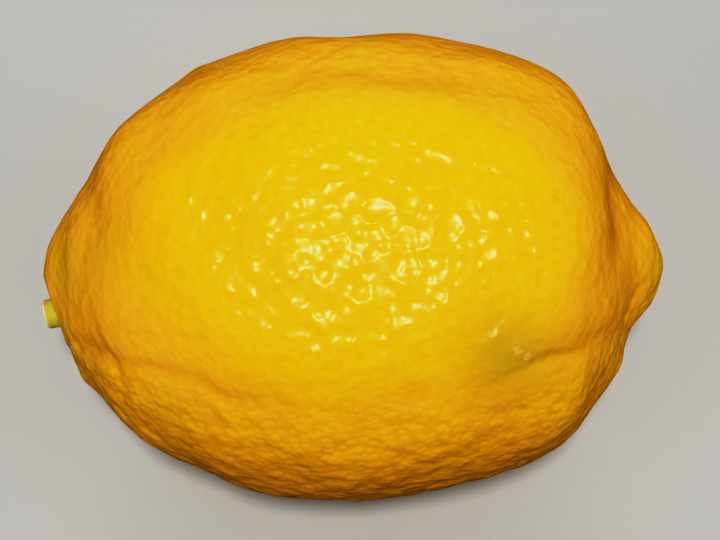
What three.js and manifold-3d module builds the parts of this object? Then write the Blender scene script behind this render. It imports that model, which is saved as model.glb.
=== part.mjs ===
// A fresh lemon lying on its side: one solid fruit with a blunt nipple at +X, and at -X the button that
// stays on a clipped fruit, a cut stem stub on its calyx. Millimetres, +Z up. The origin is on the ground,
// in the middle of the flat spot that the fruit rests on.

import * as THREE from "three";
import { mergeVertices } from "three/addons/utils/BufferGeometryUtils.js";
import Module from "manifold-3d";

// Driving dimensions of the fruit
const FRUIT_LENGTH = 84.2;
const BELLY_RADIUS = 31.6;
const HALF_LENGTH = FRUIT_LENGTH / 2;

// Half outline from the stem end to the nipple: station as a share of the half length, radius as a share of
// the belly radius.
const OUTLINE = [
  [-1.0, 0.0],
  [-0.984, 0.125],
  [-0.936, 0.238],
  [-0.904, 0.309],
  [-0.867, 0.405],
  [-0.736, 0.642],
  [-0.511, 0.851],
  [-0.238, 0.972],
  [0.0, 1.0],
  [0.285, 0.965],
  [0.523, 0.886],
  [0.677, 0.772],
  [0.774, 0.598],
  [0.846, 0.4],
  [0.895, 0.272],
  [0.958, 0.168],
  [1.004, 0.0],
];

// The fruit's heart line runs level, with bows towards +Y. Each is a hump of that size, and its place and
// reach along the fruit are shares of the half length.
const HEART_BOWS = [
  { by: -1.1, at: -1.0, reach: 0.35 },
  { by: 0.9, at: 0.55, reach: 0.42 },
];

// The belly's lowest part is pressed flat by so much, which makes the rest spot.
const REST_PRESS = 0.4;
const HEART_HEIGHT = BELLY_RADIUS - REST_PRESS;

// Broad lumps of the rind: plane waves spread evenly over all directions.
const LUMP_SPACING = 13;
const LUMP_HEIGHT = 0.15;
const LUMP_WAVES = 14;

// Furrows run through [station, angle] places: millimetres from the middle along the heart line, and degrees
// round it from the top towards -Y.
const FAR_SIDE_PATH = [[-19, -23], [-12, -30], [2, -32], [14, -33], [23, -32], [27, -27], [31, -22]];
const NIPPLE_PATH = [[37.2, -110], [36, -70], [34, -25], [34.3, 0], [33.6, 20], [34.4, 40]];
const NEAR_SIDE_PATH = [[16, 50], [23, 46], [29, 45], [34, 54], [36.4, 80]];
const KNOB_PATH = [[-38.4, -100], [-37.4, -60], [-36, -15], [-36, 25], [-34.4, 55], [-31.4, 57], [-29.4, 65]];
const FURROWS = [
  { depth: 0.55, reach: 2.6, path: FAR_SIDE_PATH },
  { depth: 1.0, reach: 2.4, path: NIPPLE_PATH },
  { depth: 0.6, reach: 2.2, path: NEAR_SIDE_PATH },
  { depth: 0.6, reach: 2.2, path: KNOB_PATH },
];
const FURROW_END_SHARE = 0.08;

// Swellings at a [station, angle] place, each a smooth hump of that height and reach: beside the stem, and
// under the nipple.
const SWELLINGS = [
  { at: [-36.2, 110], height: 0.8, reach: 2.8 },
  { at: [35, 104], height: 0.9, reach: 3.5 },
];

// The button: a cut stub on a lobed calyx, with a root that stands in a socket in the fruit. Its seat is
// sunk flat into the skin, square to the stem, and blends out into the skin round it.
const STEM_AT = [-40.9, 109];
const STEM_LEAN = new THREE.Vector3(-0.97, -0.22, -0.08).normalize();
const STUB_RADIUS = 1.95;
const STUB_LENGTH = 1.6;
const STUB_EDGE = 0.35;
const COLLAR_RADIUS = 2.05;
const COLLAR_HEIGHT = 0.9;
const CALYX_RADIUS = 2.4;
const CALYX_TOP_RADIUS = 2.2;
const CALYX_THICKNESS = 0.5;
const CALYX_LOBES = 5;
const CALYX_LOBE_DEPTH = 0.3;
const CALYX_TOP_LOBING = 0.4;
const ROOT_RADIUS = 1.2;
const ROOT_DEPTH = 1.9;
const CLEARANCE = 0.3;
const SEAT_DEPTH = 1.4;
const SEAT_REACH = 4.3;
const SEAT_BLEND = 2.6;
const SOCKET_MOUTH = 2;

// Mesh fineness: fruit rings between two outline points, sides round the fruit and the button, steps along a
// furrow, halvings in the search for a station, and the distance under which two vertices are one.
const RINGS_PER_POINT = 4;
const FRUIT_SIDES = 64;
const BUTTON_SIDES = 30;
const FURROW_STEPS = 40;
const HALVINGS = 40;
const MERGE_DISTANCE = 1e-4;

const GOLDEN_ANGLE = Math.PI * (3 - Math.sqrt(5));

// The outline as a curve, mirrored over the heart line at both ends so that the ends close round
const onHalf = ([station, radius]) => new THREE.Vector2(station * HALF_LENGTH, radius * BELLY_RADIUS);
const mirrored = (p) => new THREE.Vector2(p.x, -p.y);
const outlinePoints = OUTLINE.map(onHalf);
const beforeStem = mirrored(outlinePoints[1]);
const pastNipple = mirrored(outlinePoints.at(-2));
const outline = new THREE.SplineCurve([beforeStem, ...outlinePoints, pastNipple]);
const endShare = 1 / (outlinePoints.length + 1);

/** Curve parameter at a share of the half outline, 0 at the stem end and 1 at the nipple. */
const parameterAt = (share) => endShare + share * (1 - 2 * endShare);

/** Point on the half outline at a share, as (station, radius). */
const outlineAt = (share) => outline.getPoint(parameterAt(share));

/** Outward normal of the half outline at a share, as (along the heart line, away from it). */
function outlineNormal(share) {
  const tangent = outline.getTangent(parameterAt(share));
  return new THREE.Vector2(-tangent.y, tangent.x);
}

/** Smooth hump: 1 at no distance, fading to 0 past its reach. */
const hump = (distance, reach) => Math.exp(-((distance / reach) ** 2));

/** Middle of the cross-section at a station. */
function heart(station) {
  const along = station / HALF_LENGTH;
  const bow = HEART_BOWS.reduce((sum, { by, at, reach }) => sum + by * hump(along - at, reach), 0);
  return new THREE.Vector3(station, bow, HEART_HEIGHT);
}

/** Direction away from the heart line at an angle from the top towards -Y, in radians. */
const outward = (angle) => new THREE.Vector3(0, -Math.sin(angle), Math.cos(angle));

/** The plain body: the outline carried round the heart line. */
function bodyPoint(share, angle) {
  const { x: station, y: radius } = outlineAt(share);
  return heart(station).addScaledVector(outward(angle), radius);
}

/** Share of the outline at which a station lies, by halving. */
function shareAt(station) {
  let low = 0;
  let high = 1;
  for (let step = 0; step < HALVINGS; step++) {
    const middle = (low + high) / 2;
    if (outlineAt(middle).x < station) low = middle;
    else high = middle;
  }
  return low;
}

/** Point of the plain body at a [station, angle in degrees]. */
const bodyPlace = ([station, degrees]) => bodyPoint(shareAt(station), THREE.MathUtils.degToRad(degrees));

const furrows = FURROWS.map(({ depth, reach, path }) => ({
  depth,
  reach,
  points: new THREE.CatmullRomCurve3(path.map(bodyPlace)).getPoints(FURROW_STEPS),
}));

const swellings = SWELLINGS.map(({ at, height, reach }) => ({ height, reach, centre: bodyPlace(at) }));

/** Height of the broad lumps at a point. */
function lumpHeight(p) {
  let sum = 0;
  for (let wave = 0; wave < LUMP_WAVES; wave++) {
    const up = 1 - (2 * wave + 1) / LUMP_WAVES;
    const flat = Math.sqrt(1 - up * up);
    const turn = wave * GOLDEN_ANGLE;
    const along = p.x * up + p.y * flat * Math.cos(turn) + p.z * flat * Math.sin(turn);
    sum += Math.sin((2 * Math.PI * along) / LUMP_SPACING + wave);
  }
  return (LUMP_HEIGHT * sum) / Math.sqrt(LUMP_WAVES / 2);
}

/** Depth of the furrows at a point: each is deepest in the middle of its path and fades out at both ends. */
function furrowDepth(p) {
  let total = 0;
  for (const { depth, reach, points } of furrows) {
    const distances = points.map((q) => p.distanceTo(q));
    const nearest = Math.min(...distances);
    const share = distances.indexOf(nearest) / FURROW_STEPS;
    const held = THREE.MathUtils.clamp(share, FURROW_END_SHARE, 1 - FURROW_END_SHARE);
    total += depth * hump(nearest, reach) * Math.sin(Math.PI * held);
  }
  return total;
}

/** Height of the swellings at a point. */
function swellingHeight(p) {
  const heights = swellings.map(({ height, reach, centre }) => height * hump(p.distanceTo(centre), reach));
  return heights.reduce((sum, height) => sum + height, 0);
}

const seatCentre = bodyPlace(STEM_AT).addScaledVector(STEM_LEAN, -SEAT_DEPTH);

/** Pulls a skin point near the stem onto the seat's plane, blending out past the seat's reach. */
function pressSeat(p) {
  const offset = p.clone().sub(seatCentre);
  const height = offset.dot(STEM_LEAN);
  const aside = offset.addScaledVector(STEM_LEAN, -height).length();
  const hold = 1 - THREE.MathUtils.smoothstep(aside, SEAT_REACH, SEAT_REACH + SEAT_BLEND);
  p.addScaledVector(STEM_LEAN, -height * hold);
}

/** Finished skin point, with lumps, furrows, swellings, the button's seat and the pressed rest spot. */
function skinPoint(share, angle) {
  const base = bodyPoint(share, angle);
  const { x: along, y: away } = outlineNormal(share);
  const normal = outward(angle).multiplyScalar(away);
  normal.x = along;
  const rise = lumpHeight(base) + swellingHeight(base) - furrowDepth(base);
  const skin = base.clone().addScaledVector(normal, rise);
  const onStemHalf = base.x < 0;
  if (onStemHalf) pressSeat(skin);
  skin.z = Math.max(skin.z, 0);
  return skin;
}

/** Closed mesh of rings between two end points; ring(i, j) gives side j of ring i. */
function ringMesh(rings, sides, start, end, ring) {
  const points = [start];
  for (let i = 0; i < rings; i++) {
    for (let j = 0; j < sides; j++) points.push(ring(i, j));
  }
  points.push(end);
  const last = points.length - 1;
  const at = (i, j) => 1 + i * sides + (j % sides);
  const faces = [];
  for (let j = 0; j < sides; j++) {
    faces.push(0, at(0, j + 1), at(0, j));
    faces.push(last, at(rings - 1, j), at(rings - 1, j + 1));
    for (let i = 0; i + 1 < rings; i++) {
      faces.push(at(i, j), at(i + 1, j + 1), at(i + 1, j));
      faces.push(at(i, j), at(i, j + 1), at(i + 1, j + 1));
    }
  }
  const geometry = new THREE.BufferGeometry().setFromPoints(points);
  geometry.setIndex(faces);
  return geometry;
}

/** The fruit's skin before the socket is cut. Rings stand closer at both ends, as the outline points do. */
function makeSkin() {
  const steps = RINGS_PER_POINT * (OUTLINE.length - 1);
  const ring = (i, j) => skinPoint((i + 1) / steps, (2 * Math.PI * j) / FRUIT_SIDES);
  return ringMesh(steps - 1, FRUIT_SIDES, skinPoint(0, 0), skinPoint(1, 0), ring);
}

// The stem's own frame: its length runs along +Y before it is turned to its lean.
const stemTurn = new THREE.Quaternion().setFromUnitVectors(new THREE.Vector3(0, 1, 0), STEM_LEAN);

/** Cutter for the socket that the button's root stands in, from its floor to past the seat. */
function makeSocket() {
  const radius = ROOT_RADIUS + CLEARANCE;
  const depth = ROOT_DEPTH + CLEARANCE;
  const socket = new THREE.CylinderGeometry(radius, radius, depth + SOCKET_MOUTH, BUTTON_SIDES);
  socket.translate(0, (SOCKET_MOUTH - depth) / 2, 0);
  socket.applyQuaternion(stemTurn);
  return socket.translate(seatCentre.x, seatCentre.y, seatCentre.z);
}

/** The button: rings from the root's end to the cut face, each a radius, a height and a share of lobing. */
function makeButton() {
  const stubTop = CALYX_THICKNESS + STUB_LENGTH;
  const rings = [
    [ROOT_RADIUS, -ROOT_DEPTH, 0],
    [ROOT_RADIUS, 0, 0],
    [CALYX_RADIUS, 0, 1],
    [CALYX_RADIUS, CALYX_THICKNESS / 2, 1],
    [CALYX_TOP_RADIUS, CALYX_THICKNESS, CALYX_TOP_LOBING],
    [COLLAR_RADIUS, COLLAR_HEIGHT, 0],
    [STUB_RADIUS, stubTop / 2, 0],
    [STUB_RADIUS, stubTop - STUB_EDGE, 0],
    [STUB_RADIUS - STUB_EDGE, stubTop, 0],
  ];
  const ring = (i, j) => {
    const angle = (2 * Math.PI * j) / BUTTON_SIDES;
    const [radius, height, lobing] = rings[i];
    const out = radius - (lobing * CALYX_LOBE_DEPTH * (1 + Math.cos(CALYX_LOBES * angle))) / 2;
    return new THREE.Vector3(out * Math.sin(angle), height, out * Math.cos(angle));
  };
  const start = new THREE.Vector3(0, -ROOT_DEPTH, 0);
  const end = new THREE.Vector3(0, stubTop, 0);
  return ringMesh(rings.length, BUTTON_SIDES, start, end, ring);
}

const wasm = await Module();
wasm.setup();

/** A closed geometry as a solid that can be cut. */
function solidOf(geometry) {
  const bare = geometry.clone();
  bare.deleteAttribute("normal");
  bare.deleteAttribute("uv");
  const merged = mergeVertices(bare, MERGE_DISTANCE);
  const vertProperties = new Float32Array(merged.attributes.position.array);
  const triVerts = new Uint32Array(merged.index.array);
  return new wasm.Manifold(new wasm.Mesh({ numProp: 3, vertProperties, triVerts }));
}

/** A solid back as a geometry. */
function geometryOf(solid) {
  const mesh = solid.getMesh();
  const geometry = new THREE.BufferGeometry();
  geometry.setAttribute("position", new THREE.BufferAttribute(mesh.vertProperties, 3));
  geometry.setIndex(new THREE.BufferAttribute(mesh.triVerts, 1));
  return geometry;
}

/** A named mesh with smooth normals. */
function makeMesh(name, geometry, material) {
  geometry.computeVertexNormals();
  const mesh = new THREE.Mesh(geometry, material);
  mesh.name = name;
  return mesh;
}

const rind = new THREE.MeshStandardMaterial({ color: 0xe8b80c, roughness: 0.38, metalness: 0 });
const greenStem = new THREE.MeshStandardMaterial({ color: 0xa09a2c, roughness: 0.75, metalness: 0 });

const socketedSkin = solidOf(makeSkin()).subtract(solidOf(makeSocket()));
const fruit = makeMesh("fruit", geometryOf(socketedSkin), rind);

const button = makeMesh("stem_button", makeButton(), greenStem);
button.quaternion.copy(stemTurn);
button.position.copy(seatCentre).addScaledVector(STEM_LEAN, CLEARANCE);

const lemon = new THREE.Group();
lemon.add(fruit, button);

export default lemon;
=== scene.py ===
"""Looks of a fresh lemon that lies on its side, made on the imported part's frame.

The rind is one surface: the part's outline carried round its heart line, raised by lumps, swells and pebbles
and sunk by furrows, creases and gland dimples. The button at the stem end is a lobed profile carried along
the stem. Lengths are in millimetres here, and turn to metres where a mesh is filled.
"""

import logging
import math
from dataclasses import dataclass, field
from enum import Enum

import bpy
import numpy as np
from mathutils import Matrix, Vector


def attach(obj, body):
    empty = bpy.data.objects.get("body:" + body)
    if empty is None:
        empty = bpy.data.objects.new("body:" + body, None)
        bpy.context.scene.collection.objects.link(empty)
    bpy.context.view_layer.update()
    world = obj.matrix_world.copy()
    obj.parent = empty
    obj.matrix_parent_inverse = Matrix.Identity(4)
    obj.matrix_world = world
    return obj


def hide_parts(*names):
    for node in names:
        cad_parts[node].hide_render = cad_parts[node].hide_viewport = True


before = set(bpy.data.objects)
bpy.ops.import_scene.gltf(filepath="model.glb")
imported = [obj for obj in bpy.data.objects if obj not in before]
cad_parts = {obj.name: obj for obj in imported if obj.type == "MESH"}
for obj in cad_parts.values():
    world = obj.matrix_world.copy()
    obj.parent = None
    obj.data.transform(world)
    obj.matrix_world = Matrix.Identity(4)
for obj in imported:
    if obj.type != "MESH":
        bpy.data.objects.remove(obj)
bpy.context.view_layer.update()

LOG = logging.getLogger("lemon")
MM = 0.001
GOLDEN_ANGLE = math.pi * (3 - math.sqrt(5))

Array = np.ndarray
Colour = tuple[float, float, float, float]
Place = tuple[float, float]
Span = tuple[float, float]
Triple = tuple[float, float, float]
Wire = bpy.types.NodeSocket | float | Colour | Triple

CLOUD_MIDDLE: Span = (0.3, 0.7)


class Body(Enum):
    """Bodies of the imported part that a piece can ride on."""

    ROOT = "root"


class Slot(Enum):
    """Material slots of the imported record."""

    RIND = "rind"
    STEM = "stem"


class Mark(Enum):
    """Point attributes of the rind that its finish reads, each from 0 to 1."""

    AMBER = "amber"
    COARSE = "coarse"
    # Painted shade in furrows, creases, hollows and under the middle, and deep amber round the top-left
    # scars.
    DEEP_AMBER_AND_SHADE = "deep_amber_and_shade"
    FRESH = "fresh"
    # Olive of the blemish and the nipple tip, and painted shade on the lower-right hollow and the left end.
    OLIVE_AND_SHADE = "green"
    SCAR = "scar"


class Operation(Enum):
    """Ways to combine two values in a finish."""

    ADD = "ADD"
    MULTIPLY = "MULTIPLY"


def hump(distance: Array, reach: float) -> Array:
    """Smooth hump exp(-(distance / reach)^2): 1 at no distance, fading to 0 past its reach."""
    return np.exp(-((distance / reach) ** 2))


def smooth_step(value: Array, low: float, high: float) -> Array:
    """Smooth rise t^2 (3 - 2t) from 0 at low to 1 at high, with t clamped; low may be above high."""
    t = np.clip((value - low) / (high - low), 0, 1)
    return t * t * (3 - 2 * t)


def spline(points: Array, parameter: Array) -> Array:
    """Uniform Catmull-Rom curve: the cubic that meets each point with half the step of its two neighbours.

    Args:
        points: Points that the curve runs through, one per row.
        parameter: Places along the curve, counted in points from the first.

    Returns:
        Curve points, one per parameter.
    """
    last = len(points) - 1
    index = np.clip(np.floor(parameter).astype(int), 0, last - 1)
    t = (parameter - index)[..., None]
    before, start = points[np.maximum(index - 1, 0)], points[index]
    end, after = points[index + 1], points[np.minimum(index + 2, last)]
    leave, arrive = (end - before) / 2, (after - start) / 2
    cubic = 2 * start - 2 * end + leave + arrive
    square = 3 * end - 3 * start - 2 * leave - arrive
    return ((cubic * t + square) * t + leave) * t + start


def even_directions(count: int) -> Array:
    """Unit vectors spread evenly over a sphere: equal steps along X, turned by the golden angle each time.

    Args:
        count: How many vectors.

    Returns:
        Vectors, one per row.
    """
    index = np.arange(count)
    up = 1 - (2 * index + 1) / count
    flat = np.sqrt(1 - up * up)
    turn = index * GOLDEN_ANGLE
    return np.stack([up, flat * np.cos(turn), flat * np.sin(turn)], axis=1)


def path_distance(points: Array, path: Array) -> tuple[Array, Array]:
    """Distance of points to a path of straight steps: the least over all steps of the distance to the step.

    Args:
        points: Points, one per row.
        path: Corners of the path, one per row.

    Returns:
        The least distance of each point, and the share of the path at which it lies.
    """
    least = np.full(len(points), np.inf)
    share = np.zeros(len(points))
    steps = len(path) - 1
    for index, (start, end) in enumerate(zip(path[:-1], path[1:])):
        along = end - start
        t = np.clip((points - start) @ along / (along @ along), 0, 1)
        distance = np.linalg.norm(points - start - t[:, None] * along, axis=1)
        nearer = distance < least
        least = np.where(nearer, distance, least)
        share = np.where(nearer, (index + t) / steps, share)
    return least, share


def ring_faces(rings: int, sides: int) -> list[tuple[int, ...]]:
    """Faces of rings between two end points: quads between neighbouring rings and a fan at each end.

    Args:
        rings: Number of rings; the first vertex is the start point and the last is the end point.
        sides: Vertices on each ring.

    Returns:
        Vertex numbers of each face, turned outwards where the rings run clockwise seen along the path.
    """
    corner = 1 + np.arange(rings * sides).reshape(rings, sides)
    turned = np.roll(corner, -1, axis=1)
    quads = np.stack([corner[:-1], turned[:-1], turned[1:], corner[1:]], axis=-1).reshape(-1, 4)
    last = rings * sides + 1
    first_fan = np.stack([np.zeros(sides, int), turned[0], corner[0]], axis=-1)
    last_fan = np.stack([np.full(sides, last), corner[-1], turned[-1]], axis=-1)
    return [*map(tuple, first_fan.tolist()), *map(tuple, quads.tolist()), *map(tuple, last_fan.tolist())]


def fill_mesh(name: str, points: Array, faces: list[tuple[int, ...]]) -> bpy.types.Object:
    """Makes a smooth mesh object at the origin from points in millimetres.

    Args:
        name: Name of the object and its mesh.
        points: Vertices, one per row.
        faces: Vertex numbers of each face.

    Returns:
        The new object, linked to the scene.
    """
    mesh = bpy.data.meshes.new(name)
    mesh.from_pydata((points * MM).tolist(), [], faces)
    mesh.polygons.foreach_set("use_smooth", np.ones(len(faces), bool))
    mesh.update()
    piece = bpy.data.objects.new(name, mesh)
    bpy.context.scene.collection.objects.link(piece)
    return piece


def mark_points(piece: bpy.types.Object, mark: str, values: Array) -> None:
    """Writes one value per vertex as a named attribute that a finish can read."""
    attribute = piece.data.attributes.new(mark, "FLOAT", "POINT")
    attribute.data.foreach_set("value", values.astype(np.float32))


def settle(piece: bpy.types.Object, node: str, material: bpy.types.Material) -> None:
    """Dresses a piece and puts it on the part in place of a node.

    Args:
        piece: The finished piece.
        node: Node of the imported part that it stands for.
        material: Its finish.
    """
    piece.data.materials.append(material)
    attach(piece, Body.ROOT.value)
    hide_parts(node)
    LOG.info("%s: %d vertices, stands for %s", piece.name, len(piece.data.vertices), node)


class Bench:
    """Adds nodes to one material and wires them."""

    def __init__(self, name: str) -> None:
        """Starts a bare material.

        Args:
            name: Name of the material.
        """
        self.material = bpy.data.materials.new(name)
        self.material.use_nodes = True
        self.tree = self.material.node_tree
        self.tree.nodes.clear()

    def add(self, kind: str, inputs: dict[str | int, Wire], **settings: str | bool) -> bpy.types.Node:
        """Adds a node.

        Args:
            kind: Node type.
            inputs: Value or wire for each input, by name or number.
            **settings: Properties of the node itself.

        Returns:
            The new node.
        """
        node = self.tree.nodes.new(kind)
        for key, value in settings.items():
            setattr(node, key, value)
        for key, value in inputs.items():
            self.feed(node.inputs[key], value)
        return node

    def feed(self, socket: bpy.types.NodeSocket, value: Wire) -> None:
        """Wires or sets one input.

        Args:
            socket: The input.
            value: A wire to join to it, or a value to set.
        """
        if isinstance(value, bpy.types.NodeSocket):
            self.tree.links.new(value, socket)
        else:
            socket.default_value = value

    def place(self) -> bpy.types.NodeSocket:
        """Wire of the surface point in the object's own frame, in metres."""
        return self.add("ShaderNodeTexCoord", {}).outputs["Object"]

    def mark(self, name: str) -> bpy.types.NodeSocket:
        """Wire of a point attribute."""
        return self.add("ShaderNodeAttribute", {}, attribute_name=name).outputs["Fac"]

    def noise(self, place: Wire, grain: float, detail: float) -> bpy.types.NodeSocket:
        """Wire of a cloudy pattern whose lumps are that many millimetres across, about 0.5 on average."""
        inputs = {"Vector": place, "Scale": 1 / (grain * MM), "Detail": detail}
        return self.add("ShaderNodeTexNoise", inputs).outputs["Fac"]

    def cells(self, place: Wire, spacing: float) -> bpy.types.NodeSocket:
        """Wire of the distance to the nearest of scattered points, as a share of their spacing."""
        inputs = {"Vector": place, "Scale": 1 / (spacing * MM), "Randomness": 1.0}
        return self.add("ShaderNodeTexVoronoi", inputs).outputs["Distance"]

    def round_cells(self, place: Wire, spacing: float, roundness: float) -> bpy.types.NodeSocket:
        """Wire of the same distance with its ridges rounded off, by a roundness from 0 to 1."""
        inputs = {"Vector": place, "Scale": 1 / (spacing * MM), "Randomness": 1.0, "Smoothness": roundness}
        return self.add("ShaderNodeTexVoronoi", inputs, feature="SMOOTH_F1").outputs["Distance"]

    def wander(self, place: Wire, grain: float, by: float) -> bpy.types.NodeSocket:
        """Moves a place about by a cloudy pattern.

        Args:
            place: Wire of the place.
            grain: How many millimetres the pattern's lumps are across.
            by: How many millimetres it moves at most.

        Returns:
            Wire of the moved place.
        """
        cloud = self.add("ShaderNodeTexNoise", {"Vector": place, "Scale": 1 / (grain * MM), "Detail": 0.0})
        inputs = {0: cloud.outputs["Color"], 1: (by * MM,) * 3, 2: place}
        return self.add("ShaderNodeVectorMath", inputs, operation="MULTIPLY_ADD").outputs["Vector"]

    def rise(self, value: Wire, over: Span, to: Span = (0.0, 1.0)) -> bpy.types.NodeSocket:
        """Wire of a smooth rise over a span of a value, to a span of results."""
        inputs = {"Value": value, "From Min": over[0], "From Max": over[1], "To Min": to[0], "To Max": to[1]}
        return self.add("ShaderNodeMapRange", inputs, interpolation_type="SMOOTHSTEP").outputs["Result"]

    def combine(self, operation: Operation, first: Wire, second: Wire) -> bpy.types.NodeSocket:
        """Wire of an operation on two values."""
        return self.add("ShaderNodeMath", {0: first, 1: second}, operation=operation.value).outputs["Value"]

    def mix(self, share: Wire, first: Wire, second: Wire) -> bpy.types.NodeSocket:
        """Mixes two colours.

        Args:
            share: Share of the second colour, from 0 to 1.
            first: The first colour.
            second: The second colour.

        Returns:
            Wire of the mixed colour.
        """
        node = self.add("ShaderNodeMix", {}, data_type="RGBA")
        sockets = {s.name: s for s in node.inputs if s.enabled}
        for key, value in {"Factor": share, "A": first, "B": second}.items():
            self.feed(sockets[key], value)
        return next(s for s in node.outputs if s.enabled)

    def bump(self, height: Wire, depth: float, under: Wire | None = None) -> bpy.types.NodeSocket:
        """Turns a height into a normal.

        Args:
            height: Wire of the height, as a share of the depth.
            depth: How many millimetres a height of 1 stands for.
            under: Normal that the height lies on, or the surface's own.

        Returns:
            Wire of the normal.
        """
        inputs: dict[str | int, Wire] = {"Height": height, "Distance": depth * MM, "Strength": 1.0}
        if under is not None:
            inputs["Normal"] = under
        return self.add("ShaderNodeBump", inputs).outputs["Normal"]

    def finish(self, **inputs: Wire) -> bpy.types.Material:
        """Ends the material in a principled surface.

        Args:
            **inputs: Value or wire for each input, with underscores for the spaces of its name.

        Returns:
            The finished material.
        """
        named = {key.replace("_", " "): value for key, value in inputs.items()}
        surface = self.add("ShaderNodeBsdfPrincipled", named)
        self.add("ShaderNodeOutputMaterial", {"Surface": surface.outputs["BSDF"]})
        return self.material


@dataclass(frozen=True)
class RindFinish:
    """Waxy lemon rind: yellow on the cheek that faces the key light and amber round it, partly ripeness and
    partly painted light; gland dots and painted shade between pebbles, and painted shade in creases and under
    the middle.

    The wax has a relief of its own, round dimples on broad swells, so glints show it and the shading doesn't.
    """

    lemon: Colour = (0.85, 0.488, 0.02, 1.0)
    # Amber away from the cheek: partly ripeness, partly painted light where the key light falls off.
    amber: Colour = (0.83, 0.45, 0.04, 1.0)
    # Deep amber: painted shade, and the colour round the top-left scars.
    deep_amber: Colour = (0.60, 0.27, 0.015, 1.0)
    # Gland dots, and painted shade between pebbles.
    gap_gland_and_shade: Colour = (0.62, 0.30, 0.015, 1.0)
    fresh: Colour = (0.78, 0.56, 0.05, 1.0)
    # Olive of the blemish and the tip, also laid as painted shade.
    green: Colour = (0.56, 0.385, 0.03, 1.0)
    scab: Colour = (0.78, 0.47, 0.12, 1.0)
    scab_edge: Colour = (0.58, 0.34, 0.03, 1.0)
    scab_grain: float = 0.5
    crumble_span: Span = (0.35, 0.65)
    crumble_share: Span = (0.6, 1.4)
    edge_span: Span = (0.05, 0.4)
    edge_share: Span = (0.0, 0.6)
    crust_span: Span = (0.2, 0.9)
    crust_share: Span = (0.0, 0.9)
    mottle_grain: float = 9.0
    mottle_share: Span = (-0.12, 0.12)
    # Painted shade between pebbles, stronger where the skin is coarse.
    gap_span: Span = (0.42, 0.75)
    gap_coarse: Span = (0.1, 1.0)
    gap_share: Span = (0.08, 0.34)
    pebble_spacing: float = 1.15
    pebble_depth: float = 0.075
    pebble_span: Span = (0.75, 0.15)
    pebble_share: Span = (0.6, 1.0)
    roughness: float = 0.5
    specular: float = 0.05
    wax_weight: float = 0.7
    wax_roughness: float = 0.33
    wax_spacing: float = 1.7
    wax_depth: float = 0.66
    wax_roundness: float = 0.85
    wander_grain: float = 2.2
    wander: float = 0.4
    swell_grain: float = 4.0
    swell_depth: float = 0.66

    def material(self) -> bpy.types.Material:
        """Makes the finish.

        Returns:
            The material, which reads the rind's marks and its own frame.
        """
        bench = Bench("lemon_rind")
        place = bench.place()
        coarse = bench.mark(Mark.COARSE.value)
        cloud = bench.noise(place, self.mottle_grain, detail=3.0)
        mottle = bench.rise(cloud, CLOUD_MIDDLE, self.mottle_share)
        # Amber mark: partly ripeness, partly painted light away from the lit cheek; with random mottle.
        amber = bench.combine(Operation.ADD, bench.mark(Mark.AMBER.value), mottle)
        cells = bench.cells(place, self.pebble_spacing)
        # Gland dots and painted shade between pebbles, stronger on coarse skin.
        gap_depth = bench.rise(coarse, self.gap_coarse, self.gap_share)
        gland_dots_and_shade = bench.combine(Operation.MULTIPLY, bench.rise(cells, self.gap_span), gap_depth)
        colour = bench.mix(bench.rise(amber, (0.0, 1.0)), self.lemon, self.amber)
        colour = bench.mix(bench.mark(Mark.FRESH.value), colour, self.fresh)
        colour = bench.mix(gland_dots_and_shade, colour, self.gap_gland_and_shade)
        # Painted shade, laid as deep amber.
        colour = bench.mix(bench.mark(Mark.DEEP_AMBER_AND_SHADE.value), colour, self.deep_amber)
        # Olive blemish and tip, and painted shade on the hollow and the left end.
        colour = bench.mix(bench.mark(Mark.OLIVE_AND_SHADE.value), colour, self.green)
        grain = bench.noise(place, self.scab_grain, detail=2.0)
        crumble = bench.rise(grain, self.crumble_span, self.crumble_share)
        crust = bench.combine(Operation.MULTIPLY, bench.mark(Mark.SCAR.value), crumble)
        colour = bench.mix(bench.rise(crust, self.edge_span, self.edge_share), colour, self.scab_edge)
        colour = bench.mix(bench.rise(crust, self.crust_span, self.crust_share), colour, self.scab)
        domes = bench.rise(cells, self.pebble_span)
        dome_height = bench.rise(coarse, (0.0, 1.0), self.pebble_share)
        pebbles = bench.combine(Operation.MULTIPLY, domes, dome_height)
        loose = bench.wander(place, self.wander_grain, self.wander)
        dimples = bench.round_cells(loose, self.wax_spacing, self.wax_roundness)
        swell = bench.bump(bench.noise(place, self.swell_grain, detail=0.0), self.swell_depth)
        wax = bench.bump(bench.combine(Operation.MULTIPLY, dimples, dimples), self.wax_depth, swell)
        return bench.finish(
            Base_Color=colour,
            Roughness=self.roughness,
            Normal=bench.bump(pebbles, self.pebble_depth),
            Specular_IOR_Level=self.specular,
            Coat_Weight=self.wax_weight,
            Coat_Roughness=self.wax_roughness,
            Coat_Normal=wax,
        )


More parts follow.
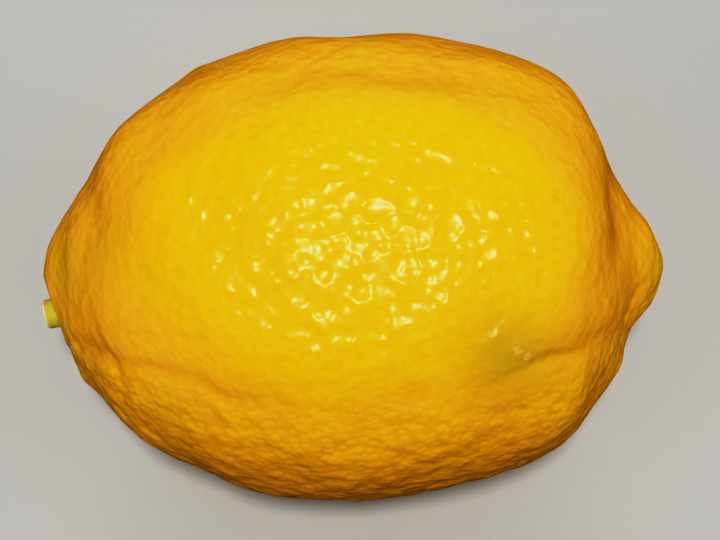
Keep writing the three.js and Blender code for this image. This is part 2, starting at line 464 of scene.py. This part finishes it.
@dataclass(frozen=True)
class StemFinish:
    """Stem tones from 0 to 1: painted shadow at its foot, olive bark, brown ring, pale cut edge and tan cut
    face.
    """

    shadow: Colour = (0.24, 0.21, 0.06, 1.0)
    olive: Colour = (0.52, 0.465, 0.08, 1.0)
    brown: Colour = (0.57, 0.41, 0.08, 1.0)
    cut: Colour = (0.74, 0.66, 0.46, 1.0)
    face: Colour = (0.58, 0.48, 0.26, 1.0)
    olive_from: Span = (0.04, 0.16)
    brown_from: Span = (0.34, 0.44)
    cut_from: Span = (0.56, 0.64)
    face_from: Span = (0.76, 0.86)
    fibre_grain: float = 0.5
    fibre_depth: float = 0.10
    fibre_share: Span = (-0.05, 0.05)
    roughness: float = 0.6
    specular: float = 0.2

    def material(self) -> bpy.types.Material:
        """Makes the finish.

        Returns:
            The material, which reads the button's tone mark and its own frame.
        """
        bench = Bench("stem_bark")
        fibre = bench.noise(bench.place(), self.fibre_grain, detail=3.0)
        uneven = bench.rise(fibre, CLOUD_MIDDLE, self.fibre_share)
        tone = bench.combine(Operation.ADD, bench.mark(StemButton.TONE_MARK), uneven)
        colour = bench.mix(bench.rise(tone, self.olive_from), self.shadow, self.olive)
        colour = bench.mix(bench.rise(tone, self.brown_from), colour, self.brown)
        colour = bench.mix(bench.rise(tone, self.cut_from), colour, self.cut)
        colour = bench.mix(bench.rise(tone, self.face_from), colour, self.face)
        return bench.finish(
            Base_Color=colour,
            Roughness=self.roughness,
            Normal=bench.bump(fibre, self.fibre_depth),
            Specular_IOR_Level=self.specular,
        )


@dataclass(frozen=True)
class FloorFinish:
    """Plain pale studio floor, faintly clouded."""

    pale: Colour = (0.46, 0.46, 0.45, 1.0)
    shade: Colour = (0.43, 0.43, 0.42, 1.0)
    cloud_grain: float = 60.0
    roughness: float = 0.8

    def material(self) -> bpy.types.Material:
        """Makes the finish.

        Returns:
            The material, which reads the floor's own frame.
        """
        bench = Bench("studio_floor")
        cloud = bench.noise(bench.place(), self.cloud_grain, detail=4.0)
        return bench.finish(Base_Color=bench.mix(cloud, self.pale, self.shade), Roughness=self.roughness)


@dataclass(frozen=True)
class Outline:
    """Half outline of the fruit, from the stem end to the nipple, as shares of its half length and radius."""

    half_length: float = 42.1
    belly_radius: float = 31.6
    points: tuple[Place, ...] = (
        (-1.0, 0.0),
        (-0.984, 0.125),
        (-0.936, 0.240),
        (-0.904, 0.315),
        (-0.867, 0.405),
        (-0.736, 0.642),
        (-0.511, 0.851),
        (-0.238, 0.972),
        (0.0, 1.0),
        (0.285, 0.965),
        (0.523, 0.886),
        (0.677, 0.772),
        (0.774, 0.598),
        (0.846, 0.4),
        (0.895, 0.272),
        (0.958, 0.168),
        (1.004, 0.0),
    )
    fine_steps: int = 4000

    def at(self, share: Array) -> Array:
        """Points (station, radius): a spline through the outline, mirrored at both ends to close them round.

        Args:
            share: Places along the outline, 0 at the stem end and 1 at the nipple.

        Returns:
            Outline points, one per row.
        """
        control = np.array(self.points) * (self.half_length, self.belly_radius)
        mirror = np.array((1, -1))
        closed = np.vstack([control[1] * mirror, control, control[-2] * mirror])
        return spline(closed, 1 + share * (len(control) - 1))

    def normal(self, share: Array) -> Array:
        """Outward unit normals (along, away): the outline's direction by a short step, turned a quarter.

        Args:
            share: Places along the outline.

        Returns:
            Normals, one per row.
        """
        step = 1 / self.fine_steps
        tangent = self.at(share + step) - self.at(share - step)
        tangent /= np.linalg.norm(tangent, axis=-1, keepdims=True)
        return np.stack([-tangent[..., 1], tangent[..., 0]], axis=-1)

    def share_at(self, station: Array) -> Array:
        """Shares of the outline at stations along the fruit, looked up on fine steps."""
        fine = np.linspace(0, 1, self.fine_steps + 1)
        return np.interp(station, self.at(fine)[:, 0], fine)

    def even_shares(self, parts: int, crowding: float) -> Array:
        """Shares along the outline, both ends included, at even distances but for a crowding at the belly.

        Args:
            parts: How many steps.
            crowding: How much closer the steps are at the belly than at the ends, as a share.

        Returns:
            Shares of the outline, one more than the steps.
        """
        fine = np.linspace(0, 1, self.fine_steps + 1)
        points = self.at(fine)
        steps = np.linalg.norm(np.diff(points, axis=0), axis=1)
        weight = 1 + crowding * points[1:, 1] / self.belly_radius
        length = np.concatenate([[0.0], np.cumsum(steps * weight)])
        return np.interp(np.linspace(0, length[-1], parts + 1), length, fine)


@dataclass(frozen=True)
class Bow:
    """A sideways bow of the heart line, placed by shares of the half length."""

    by: float
    at: float
    reach: float


@dataclass(frozen=True)
class Furrow:
    """A furrow of a depth and reach through places (station, degrees from the top towards -Y), with a share
    of painted shade along it.
    """

    depth: float
    reach: float
    path: tuple[Place, ...]
    painted_shade: float


@dataclass(frozen=True)
class Swelling:
    """A smooth hump on the skin at a place (station, degrees from the top towards -Y)."""

    at: Place
    height: float
    reach: float


@dataclass(frozen=True)
class Patch:
    """A soft spot of a mark on the skin at a place (station, degrees from the top towards -Y)."""

    mark: Mark
    at: Place
    reach: float
    share: float


@dataclass(frozen=True)
class Zone:
    """A zone round the fruit: full within one half width of its middle and gone past another, in degrees."""

    middle: float
    full: float
    gone: float

    def share(self, angle: Array) -> Array:
        """Share of the zone at angles: a smooth rise of the cosine of the turn from its middle."""
        near = np.cos(angle - math.radians(self.middle))
        return smooth_step(near, math.cos(math.radians(self.gone)), math.cos(math.radians(self.full)))


@dataclass(frozen=True)
class FruitBody:
    """The plain body: the outline carried round a heart line that bows sideways."""

    outline: Outline = Outline()
    rest_press: float = 0.4
    bows: tuple[Bow, ...] = (Bow(-1.1, -1.0, 0.35), Bow(0.9, 0.55, 0.42))

    def heart(self, station: Array) -> Array:
        """Middles of the cross-sections: level at the belly radius less the press, with humps towards +Y.

        Args:
            station: Places along the fruit.

        Returns:
            Middles, one per station.
        """
        along = station / self.outline.half_length
        bow = sum(b.by * hump(along - b.at, b.reach) for b in self.bows)
        height = np.full_like(station, self.outline.belly_radius - self.rest_press)
        return np.stack([station, bow, height], axis=-1)

    @staticmethod
    def outward(angle: Array) -> Array:
        """Unit vectors (0, -sin, cos) away from the heart line, at angles from the top towards -Y."""
        return np.stack([np.zeros_like(angle), -np.sin(angle), np.cos(angle)], axis=-1)

    def at(self, share: Array, angle: Array) -> Array:
        """Body points: heart plus outward times radius."""
        station, radius = np.moveaxis(self.outline.at(share), -1, 0)
        return self.heart(station) + self.outward(angle) * radius[..., None]

    def normal(self, share: Array, angle: Array) -> Array:
        """Unit normals: the outline's normal carried round.

        Args:
            share: Places along the outline.
            angle: Angles from the top towards -Y.

        Returns:
            Normals, one per place.
        """
        along, away = np.moveaxis(self.outline.normal(share), -1, 0)
        out = self.outward(angle) * away[..., None]
        out[..., 0] = along
        return out

    def places(self, places: tuple[Place, ...]) -> Array:
        """Body points at places (station, degrees)."""
        station, degrees = np.array(places).T
        return self.at(self.outline.share_at(station), np.radians(degrees))

    def smooth_path(self, places: tuple[Place, ...], steps: int) -> Array:
        """Points of a smooth curve through places on the body."""
        control = self.places(places)
        return spline(control, np.linspace(0, len(control) - 1, steps + 1))


@dataclass(frozen=True)
class StemSeat:
    """The flat seat of the button, sunk into the skin square to the stem and blended out round it."""

    at: Place = (-40.9, 109)
    lean: Triple = (-0.97, -0.22, -0.08)
    depth: float = 1.4
    reach: float = 3.0
    blend: float = 2.6

    @property
    def axis(self) -> Array:
        """Unit vector along the stem, out of the fruit."""
        return np.array(self.lean) / np.linalg.norm(self.lean)

    def centre(self, body: FruitBody) -> Array:
        """Middle of the seat."""
        return body.places((self.at,))[0] - self.depth * self.axis

    def press(self, skin: Array, body: FruitBody) -> Array:
        """Pulls skin onto the seat's plane: a point loses its height, fully in reach and not past the blend.

        Args:
            skin: Skin points, one per row.
            body: The plain body.

        Returns:
            The pressed points.
        """
        offset = skin - self.centre(body)
        height = offset @ self.axis
        aside = np.linalg.norm(offset - height[:, None] * self.axis, axis=1)
        hold = smooth_step(aside, self.reach + self.blend, self.reach) * (skin[:, 0] < 0)
        return skin - (height * hold)[:, None] * self.axis


@dataclass(frozen=True)
class Relief:
    """Everything that raises or sinks the rind from the plain body."""

    lump_spacing: float = 13.0
    lump_height: float = 0.15
    lump_waves: int = 14
    swell_spacing: float = 4.0
    swell_height: float = 0.025
    swell_waves: int = 72
    swell_spread: float = 0.35
    swell_seed: int = 5
    dimple_spacing: float = 2.1
    dimple_height: float = 0.05
    dimple_hold: float = 25.0
    dimple_draws: int = 4096
    dimple_seed: int = 8
    scatter: tuple[int, int, int] = (73856093, 19349663, 83492791)
    path_steps: int = 40
    end_share: float = 0.08
    furrows: tuple[Furrow, ...] = (
        Furrow(
            0.45,
            3.2,
            ((-19, -23), (-12, -30), (2, -32), (14, -33), (23, -32), (27, -27), (31, -22)),
            0.1,
        ),
        Furrow(0.6, 3.4, ((37.2, -110), (36, -70), (34.6, -25), (35.0, 0), (34, 20), (34.6, 40)), 0.2),
        Furrow(0.6, 2.2, ((16, 52.5), (23, 48.5), (29, 47.5), (34, 56), (36.4, 80)), 0.05),
        Furrow(0.45, 3.0, ((-38.4, -100), (-36.4, -50), (-34.0, -10), (-34.6, 8), (-36.2, 20)), 0.15),
        Furrow(
            0.45,
            2.2,
            ((-37.6, 75), (-35.5, 62), (-33.6, 56), (-31.1, 56), (-30.3, 60), (-30.4, 70)),
            0.1,
        ),
    )
    creases: tuple[Furrow, ...] = (
        Furrow(
            0.20,
            1.2,
            ((-28, 52), (-24, 50), (-19.7, 50), (-17.3, 53), (-15, 54), (-12.9, 53), (-8, 53)),
            0.2,
        ),
        Furrow(
            0.25,
            1.1,
            ((-37.6, 75), (-35.5, 62), (-33.6, 57), (-31.1, 56), (-30.3, 60), (-30.6, 68)),
            0.35,
        ),
        Furrow(0.20, 0.9, ((-33.5, 41), (-32.5, 49), (-31.8, 53), (-30.9, 58)), 0.3),
        Furrow(0.18, 0.9, ((-31.5, 53), (-28.5, 52), (-25.8, 50), (-23.1, 51), (-20.5, 52)), 0.3),
        Furrow(
            0.35,
            0.9,
            ((17.8, 52), (21.6, 49.5), (24.7, 47.5), (27.8, 49), (29.7, 50), (31.7, 54), (33, 57)),
            0.25,
        ),
        Furrow(0.20, 0.6, ((24.4, 53), (26.3, 53), (28.3, 53)), 0.2),
        Furrow(
            0.06,
            2.0,
            ((31.8, -30), (33.8, -21), (33.9, -7), (34.6, 2), (33.7, 9), (32.9, 16), (32.4, 20)),
            0.3,
        ),
        Furrow(
            0.06,
            1.4,
            ((-18.8, -23), (-14.4, -28), (-8, -31), (2.5, -32), (8, -30), (19, -34), (29.6, -23)),
            0.1,
        ),
        Furrow(0.35, 0.8, ((39.4, 40), (38.3, 45), (37.5, 54), (36.9, 62), (36.4, 66), (35.9, 73)), 0.45),
        Furrow(0.15, 1.5, ((5.3, 47), (7.7, 51), (10.6, 54)), 0.12),
    )
    swellings: tuple[Swelling, ...] = (
        Swelling((-36.2, 110), 0.8, 2.8),
        Swelling((35, 104), 0.9, 3.5),
        Swelling((20.7, 43), 0.15, 0.9),
        Swelling((-20.8, -63), 0.22, 1.6),
    )

    def lumps(self, points: Array) -> Array:
        """Broad lumps: sines of even plane waves, each with its number as its phase, added and levelled.

        Args:
            points: Body points, one per row.

        Returns:
            Heights.
        """
        turns = points @ even_directions(self.lump_waves).T * (2 * math.pi / self.lump_spacing)
        total = np.sin(turns + np.arange(self.lump_waves)).sum(axis=1)
        return self.lump_height * total / math.sqrt(self.lump_waves / 2)

    def swells(self, points: Array) -> Array:
        """Low swells: plane waves all round, of mixed lengths and drawn phases, added and levelled.

        Args:
            points: Body points, one per row.

        Returns:
            Heights.
        """
        draw = np.random.default_rng(self.swell_seed)
        lengths = self.swell_spacing * (1 + self.swell_spread * draw.uniform(-1, 1, self.swell_waves))
        phases = draw.uniform(0, 2 * math.pi, self.swell_waves)
        turns = points @ (even_directions(self.swell_waves) * (2 * math.pi / lengths)[:, None]).T
        return self.swell_height * np.sin(turns + phases).sum(axis=1) / math.sqrt(self.swell_waves / 2)

    def dimples(self, points: Array) -> Array:
        """Dimples with rounded rims: the soft least of squared distances to points scattered one to a cube.

        The soft least is -log of the sum of exp(-hold d^2) over the 27 cubes round a point, with d in cubes;
        it is then levelled to no mean and unit spread.

        Args:
            points: Body points, one per row.

        Returns:
            Heights.
        """
        drawn = np.random.default_rng(self.dimple_seed).random((self.dimple_draws, 3))
        cubes = points / self.dimple_spacing
        home = np.floor(cubes).astype(np.int64)
        total = np.zeros(len(points))
        for step in np.ndindex(3, 3, 3):
            cube = home + np.array(step) - 1
            number = np.bitwise_xor.reduce(cube * np.array(self.scatter), axis=1)
            offset = cubes - cube - drawn[number % self.dimple_draws]
            total += np.exp(-self.dimple_hold * (offset**2).sum(axis=1))
        depth = -np.log(total)
        return self.dimple_height * (depth - depth.mean()) / depth.std()

    def sink(self, points: Array, body: FruitBody, furrows: tuple[Furrow, ...]) -> tuple[Array, Array]:
        """Depth of furrows, each a hump across its path that fades as a half sine towards both ends, and the
        painted shade along them.

        Args:
            points: Body points, one per row.
            body: The plain body.
            furrows: The furrows.

        Returns:
            Their summed depth, and the greatest share of painted shade in them.
        """
        depth = np.zeros(len(points))
        painted_shade = np.zeros(len(points))
        for furrow in furrows:
            least, share = path_distance(points, body.smooth_path(furrow.path, self.path_steps))
            fade = np.sin(math.pi * np.clip(share, self.end_share, 1 - self.end_share))
            shape = hump(least, furrow.reach) * fade
            depth += furrow.depth * shape
            painted_shade = np.maximum(painted_shade, furrow.painted_shade * shape)
        return depth, painted_shade

    def swell(self, points: Array, body: FruitBody) -> Array:
        """Height of the swellings, each a hump of the distance to its place.

        Args:
            points: Body points, one per row.
            body: The plain body.

        Returns:
            Heights.
        """
        centres = body.places(tuple(s.at for s in self.swellings))
        near = [hump(np.linalg.norm(points - c, axis=1), s.reach) for c, s in zip(centres, self.swellings)]
        return sum(s.height * shape for s, shape in zip(self.swellings, near))


@dataclass
class Fruit:
    """The lemon itself, one grown body with its rind."""

    body: FruitBody = field(default_factory=FruitBody)
    seat: StemSeat = field(default_factory=StemSeat)
    relief: Relief = field(default_factory=Relief)
    finish: RindFinish = field(default_factory=RindFinish)
    rings: int = 252
    sides: int = 392
    belly_crowding: float = 0.5
    front_crowding: float = 0.28
    front: float = 20.0
    cheek: Zone = Zone(15.0, 20.0, 60.0)
    low_side: Zone = Zone(105.0, 25.0, 68.0)
    # Where painted shade lies under the fruit.
    underside: Zone = Zone(112.0, 22.0, 52.0)
    end_zone: Span = (0.75, 0.92)
    end_coarse: float = 0.1
    plain_coarse: float = 0.5
    cheek_half: Span = (28.0, 37.0)
    cheek_middle: float = 13.0
    tight_zone: Span = (1.2, 0.65)
    # Amber round the cheek that faces the key light: partly ripeness, partly painted light.
    amber_zone: Span = (0.8, 1.25)
    plain_dimple: float = 0.3
    tight_dimple: float = 0.7
    low_pebble: float = 1.0
    low_swell: float = 2.5
    # Less amber on the low side: painted light.
    low_yellow: float = 0.7
    # Painted shade under the middle of the fruit: its share, and how far along it reaches.
    low_shade: float = 0.45
    low_reach: Span = (32.0, 20.0)
    patches: tuple[Patch, ...] = (
        # Painted shade in the hollow below the near-side furrow.
        Patch(Mark.DEEP_AMBER_AND_SHADE, (18.6, 52.0), 5.0, 0.3),
        Patch(Mark.OLIVE_AND_SHADE, (26.0, 49.0), 4.0, 0.3),
        # Painted shade on the left end.
        Patch(Mark.OLIVE_AND_SHADE, (-32.0, 10.0), 5.5, 0.35),
        # Painted shade in the groove round the nipple.
        Patch(Mark.DEEP_AMBER_AND_SHADE, (34.6, 2.0), 2.6, 0.2),
        # Painted shadow round the foot of the stem.
        Patch(Mark.DEEP_AMBER_AND_SHADE, (-40.9, 109.0), 3.2, 1.0),
        # Olive blemish round the scab, darkened further as painted shade.
        Patch(Mark.OLIVE_AND_SHADE, (19.6, 43.0), 5.5, 0.95),
        Patch(Mark.FRESH, (41.8, 25.0), 2.9, 0.7),
        Patch(Mark.OLIVE_AND_SHADE, (39.8, 25.0), 3.6, 0.3),
        Patch(Mark.FRESH, (-38.7, 15.0), 5.0, 0.4),
        Patch(Mark.SCAR, (20.7, 43.0), 0.75, 0.95),
        Patch(Mark.SCAR, (19.6, 42.8), 0.4, 0.45),
        Patch(Mark.SCAR, (18.9, 42.8), 0.35, 0.4),
        Patch(Mark.SCAR, (22.2, 44.8), 0.6, 0.8),
        Patch(Mark.SCAR, (21.8, 45.8), 0.4, 0.6),
        Patch(Mark.SCAR, (42.3, 0.0), 0.8, 0.7),
        Patch(Mark.SCAR, (-19.6, -56.0), 1.2, 0.5),
        Patch(Mark.SCAR, (-21.0, -60.0), 1.0, 0.45),
        Patch(Mark.SCAR, (-19.3, -50.0), 1.0, 0.85),
        Patch(Mark.SCAR, (-20.4, -46.0), 0.7, 0.75),
        Patch(Mark.SCAR, (-22.2, -43.0), 1.0, 0.85),
        # Deep amber round the top-left scars.
        Patch(Mark.DEEP_AMBER_AND_SHADE, (-20.3, -52.0), 2.0, 0.45),
        Patch(Mark.DEEP_AMBER_AND_SHADE, (-22.6, -46.0), 1.8, 0.4),
    )

    def grid(self) -> tuple[Array, Array]:
        """Shares and angles of the vertices: rings crowd at the belly, and their sides towards the front.

        Returns:
            The share along the outline and the angle round it of each vertex, from the stem to the nipple.
        """
        shares = self.body.outline.even_shares(self.rings + 1, self.belly_crowding)
        even = np.linspace(0, 2 * math.pi, self.sides, endpoint=False)
        angles = even - self.front_crowding * np.sin(even - math.radians(self.front))
        share = np.concatenate([shares[:1], np.repeat(shares[1:-1], self.sides), shares[-1:]])
        return share, np.concatenate([[0.0], np.tile(angles, self.rings), [0.0]])

    def build(self) -> bpy.types.Object:
        """Makes the rind: body points moved along their normals by the relief, then seated and pressed flat.

        Returns:
            The rind's object, with its marks.
        """
        share, angle = self.grid()
        base = self.body.at(share, angle)
        station = base[:, 0]
        furrow_depth, furrow_shade = self.relief.sink(base, self.body, self.relief.furrows)
        crease_depth, crease_shade = self.relief.sink(base, self.body, self.relief.creases)
        rise = self.relief.lumps(base) + self.relief.swell(base, self.body) - furrow_depth - crease_depth
        rise += self.relief.swells(base) * self.swelling(station, angle)
        rise += self.relief.dimples(base) * self.dimpling(station, angle)
        skin = self.seat.press(base + self.body.normal(share, angle) * rise[:, None], self.body)
        skin[:, 2] = np.maximum(skin[:, 2], 0)
        piece = fill_mesh("lemon_rind", skin, ring_faces(self.rings, self.sides))
        spotted = (Mark.DEEP_AMBER_AND_SHADE, Mark.FRESH, Mark.OLIVE_AND_SHADE, Mark.SCAR)
        marks = {mark: self.spots(mark, base) for mark in spotted}
        # Painted shade: deep amber in the furrows and creases, and under the middle of the fruit.
        marks[Mark.DEEP_AMBER_AND_SHADE] += furrow_shade + crease_shade + self.shading(station, angle)
        marks[Mark.AMBER] = self.ripeness_and_painted_light(station, angle)
        marks[Mark.COARSE] = self.coarse(station, angle)
        for mark, values in marks.items():
            mark_points(piece, mark.value, np.clip(values, 0, 1))
        return piece

    def ends(self, station: Array) -> Array:
        """Share of the fruit's two ends."""
        return smooth_step(np.abs(station) / self.body.outline.half_length, *self.end_zone)

    def tight(self, station: Array, angle: Array) -> Array:
        """Share of the tight skin of the cheek."""
        return smooth_step(self.away(station, angle), *self.tight_zone)

    def swelling(self, station: Array, angle: Array) -> Array:
        """How much the skin swells: once on the tight cheek, more on the low side."""
        return self.tight(station, angle) + self.low_swell * self.low_side.share(angle)

    def dimpling(self, station: Array, angle: Array) -> Array:
        """How the glands stand: 1 where they are dimples on the tight cheek, below 0 for pebbles."""
        dimple = self.plain_dimple + self.tight_dimple * self.tight(station, angle)
        return dimple - self.low_pebble * self.low_side.share(angle)

    def ripeness_and_painted_light(self, station: Array, angle: Array) -> Array:
        """Share of amber skin all round the cheek that faces the key light, and less on the low side: partly
        ripeness, partly painted light.
        """
        yellow = self.low_yellow * self.low_side.share(angle)
        return smooth_step(self.away(station, angle), *self.amber_zone) * (1 - yellow)

    def shading(self, station: Array, angle: Array) -> Array:
        """Share of painted shade, laid as deep amber, under the middle of the fruit."""
        return self.low_shade * self.underside.share(angle) * smooth_step(np.abs(station), *self.low_reach)

    def coarse(self, station: Array, angle: Array) -> Array:
        """Share of coarse skin: none on the cheek, full on the low side, half elsewhere, more at the ends."""
        around = 1 - self.cheek.share(angle) + self.low_side.share(angle)
        return self.plain_coarse * around + self.end_coarse * self.ends(station)

    def away(self, station: Array, angle: Array) -> Array:
        """Distance from the middle of the cheek, 1 on an ellipse of its half length and half angle."""
        turn = (angle - math.radians(self.cheek_middle) + math.pi) % (2 * math.pi) - math.pi
        return np.hypot(station / self.cheek_half[0], turn / math.radians(self.cheek_half[1]))

    def spots(self, mark: Mark, points: Array) -> Array:
        """Share of a mark's spots, each a hump of the distance to its place.

        Args:
            mark: The mark.
            points: Body points, one per row.

        Returns:
            The summed share of each point.
        """
        chosen = [p for p in self.patches if p.mark is mark]
        centres = self.body.places(tuple(p.at for p in chosen))
        near = [hump(np.linalg.norm(points - c, axis=1), p.reach) for c, p in zip(centres, chosen)]
        return sum(p.share * shape for p, shape in zip(chosen, near))

    def dress(self, piece: bpy.types.Object) -> None:
        """Gives the rind its finish and its place on the part."""
        settle(piece, "fruit", self.finish.material())


@dataclass
class StemButton:
    """The clipped stem stub on its lobed calyx."""

    TONE_MARK = "stem_tone"

    body: FruitBody
    seat: StemSeat
    finish: StemFinish = field(default_factory=StemFinish)
    calyx_lobes: int = 5
    lobe_depth: float = 0.3
    lobe_top: Span = (1.0, 0.5)
    ring_tone: float = 0.49
    ring_reach: float = 0.1
    ring_fade: float = 0.2
    profile: tuple[Triple, ...] = (
        (0.6, -0.5, 0.0),
        (2.15, -0.3, 0.0),
        (2.42, 0.15, 0.05),
        (2.38, 0.42, 0.22),
        (2.14, 0.70, 0.25),
        (2.02, 1.10, 0.25),
        (1.98, 1.50, 0.28),
        (2.00, 1.75, 0.48),
        (1.98, 1.95, 0.50),
        (1.92, 2.18, 0.68),
        (1.68, 2.38, 0.70),
        (1.30, 2.26, 0.90),
        (0.85, 2.26, 0.90),
        (0.55, 2.50, 0.72),
        (0.15, 2.78, 0.70),
    )
    rings: int = 84
    sides: int = 96

    def build(self) -> bpy.types.Object:
        """Makes the button: a lobed profile of radius, height and tone, carried round the stem's axis.

        The brown ring fades towards one side. The lobes are waves of the radius that end above the calyx.

        Returns:
            The button's object, with its tone mark.
        """
        profile = np.array(self.profile)
        level = np.linspace(0, len(profile) - 1, self.rings)
        radius, height, tone = np.repeat(spline(profile, level), self.sides, axis=0).T
        angle = np.tile(np.linspace(0, 2 * math.pi, self.sides, endpoint=False), self.rings)
        tone = tone - self.ring_fade * hump(tone - self.ring_tone, self.ring_reach) * (1 - np.sin(angle)) / 2
        lobing = smooth_step(height, *self.lobe_top) * self.lobe_depth
        radius = radius - lobing * (1 + np.cos(self.calyx_lobes * angle)) / 2
        axis = self.seat.axis
        side = np.cross(axis, (0.0, 0.0, 1.0))
        side /= np.linalg.norm(side)
        up = np.cross(side, axis)
        centre = self.seat.centre(self.body)
        ring = np.outer(radius * np.sin(angle), side) + np.outer(radius * np.cos(angle), up)
        ends = centre + np.outer(profile[[0, -1], 1], axis)
        vertices = np.vstack([ends[:1], centre + ring + np.outer(height, axis), ends[1:]])
        piece = fill_mesh("stem_stub_and_calyx", vertices, ring_faces(self.rings, self.sides))
        mark_points(piece, self.TONE_MARK, np.concatenate([profile[:1, 2], tone, profile[-1:, 2]]))
        return piece

    def dress(self, piece: bpy.types.Object) -> None:
        """Gives the button its finish and its place on the part."""
        settle(piece, "stem_button", self.finish.material())


@dataclass(frozen=True)
class StudioLight:
    """Soft light from far off, spread over an angle; one that is mirrored shows as glints on the rind."""

    name: str
    azimuth: float
    elevation: float
    spread: float
    strength: float
    mirrored: bool

    def build(self) -> None:
        """Makes the light."""
        lamp = bpy.data.lights.new(self.name, "SUN")
        lamp.angle = math.radians(self.spread)
        lamp.energy = self.strength
        light = bpy.data.objects.new(self.name, lamp)
        light.visible_glossy = self.mirrored
        light.rotation_mode = "QUATERNION"
        light.rotation_quaternion = (-bearing(self.azimuth, self.elevation)).to_track_quat("-Z", "Y")
        bpy.context.scene.collection.objects.link(light)


def bearing(azimuth: float, elevation: float) -> Vector:
    """Unit vector from the fruit towards a viewer; azimuth 0 looks along +Y, and both are in degrees."""
    a, e = math.radians(azimuth), math.radians(elevation)
    return Vector((math.sin(a) * math.cos(e), -math.cos(a) * math.cos(e), math.sin(e)))


@dataclass(frozen=True)
class Response:
    """How light turns to picture values: contrast in the darks, then a shoulder below a ceiling."""

    contrast: float = 2.0
    ceiling: float = 0.877
    bend: float = 2.37
    brightest: float = 4.0
    points: int = 17

    def apply(self, scene: bpy.types.Scene) -> None:
        """Sets the view's curve to y / (1 + (y / ceiling)^bend)^(1 / bend), where y is light^contrast.

        Args:
            scene: The scene whose view it is.
        """
        view = scene.view_settings
        view.view_transform = "Standard"
        view.use_curve_mapping = True
        mapping = view.curve_mapping
        mapping.white_level = (self.brightest,) * 3
        light = self.brightest * np.linspace(0, 1, self.points) ** 2
        raised = light**self.contrast
        shown = raised / (1 + (raised / self.ceiling) ** self.bend) ** (1 / self.bend)
        curve = mapping.curves[3]
        for x, y in zip(light[1:-1] / self.brightest, shown[1:-1]):
            curve.points.new(x, y)
        curve.points[len(curve.points) - 1].location = (1.0, shown[-1])
        mapping.update()


@dataclass
class Studio:
    """Pale floor, soft light and the camera at the photograph's viewing angle."""

    view_elevation: float = 70.0
    view_distance: float = 320.0
    view_aim: Triple = (0.95, -0.25, 31.2)
    focal_pixels: float = 2350.0
    image_width: float = 720.0
    sensor_width: float = 36.0
    floor_half: float = 20000.0
    floor_drop: float = 0.05
    sky: Colour = (1.0, 1.0, 1.0, 1.0)
    sky_strength: float = 0.22
    backdrop_strength: float = 0.72
    lights: tuple[StudioLight, ...] = (
        StudioLight("key", 0.0, 77.75, 8.9, 3.45, True),
        StudioLight("dome", 0.0, 90.0, 100.0, 0.46, False),
        StudioLight("back", 180.0, 10.0, 36.0, 1.9, False),
        StudioLight("left", -64.0, 20.0, 42.0, 0.7, False),
        StudioLight("right", 85.0, 12.0, 42.0, 1.0, False),
    )
    response: Response = Response()

    def build(self) -> None:
        """Makes the floor, the lights and the camera."""
        self.build_floor()
        for light in self.lights:
            light.build()
        self.build_sky()
        self.build_camera()

    def build_floor(self) -> None:
        """Makes the floor, a flat sheet just under the fruit."""
        corners = np.array([(-1, -1, 0), (1, -1, 0), (1, 1, 0), (-1, 1, 0)]) * self.floor_half
        floor = fill_mesh("studio_floor", corners - (0, 0, self.floor_drop), [(0, 1, 2, 3)])
        floor.data.materials.append(FloorFinish().material())
        floor.visible_glossy = False

    def build_sky(self) -> None:
        """Makes the even light that comes from all round, seen itself as a pale backdrop."""
        world = bpy.data.worlds.new("studio")
        world.use_nodes = True
        tree = world.node_tree
        background = tree.nodes["Background"]
        background.inputs["Color"].default_value = self.sky
        strength = tree.nodes.new("ShaderNodeMapRange")
        strength.inputs["To Min"].default_value = self.sky_strength
        strength.inputs["To Max"].default_value = self.backdrop_strength
        seen = tree.nodes.new("ShaderNodeLightPath").outputs["Is Camera Ray"]
        tree.links.new(seen, strength.inputs["Value"])
        tree.links.new(strength.outputs["Result"], background.inputs["Strength"])
        world.cycles_visibility.glossy = False
        bpy.context.scene.world = world

    def build_camera(self) -> None:
        """Makes the camera and the way its picture is shown."""
        lens = bpy.data.cameras.new("camera")
        lens.sensor_width = self.sensor_width
        lens.lens = self.focal_pixels / self.image_width * self.sensor_width
        camera = bpy.data.objects.new("camera", lens)
        back = bearing(0.0, self.view_elevation)
        camera.location = (Vector(self.view_aim) + back * self.view_distance) * MM
        camera.rotation_mode = "QUATERNION"
        camera.rotation_quaternion = (-back).to_track_quat("-Z", "Y")
        scene = bpy.context.scene
        scene.collection.objects.link(camera)
        scene.camera = camera
        self.response.apply(scene)


def main() -> None:
    """Builds the studio, the fruit and the button, in that order."""
    logging.basicConfig(level=logging.INFO, format="%(name)s: %(message)s")
    Studio().build()
    fruit = Fruit()
    fruit.dress(fruit.build())
    button = StemButton(fruit.body, fruit.seat)
    button.dress(button.build())


if __name__ == "__main__":
    main()
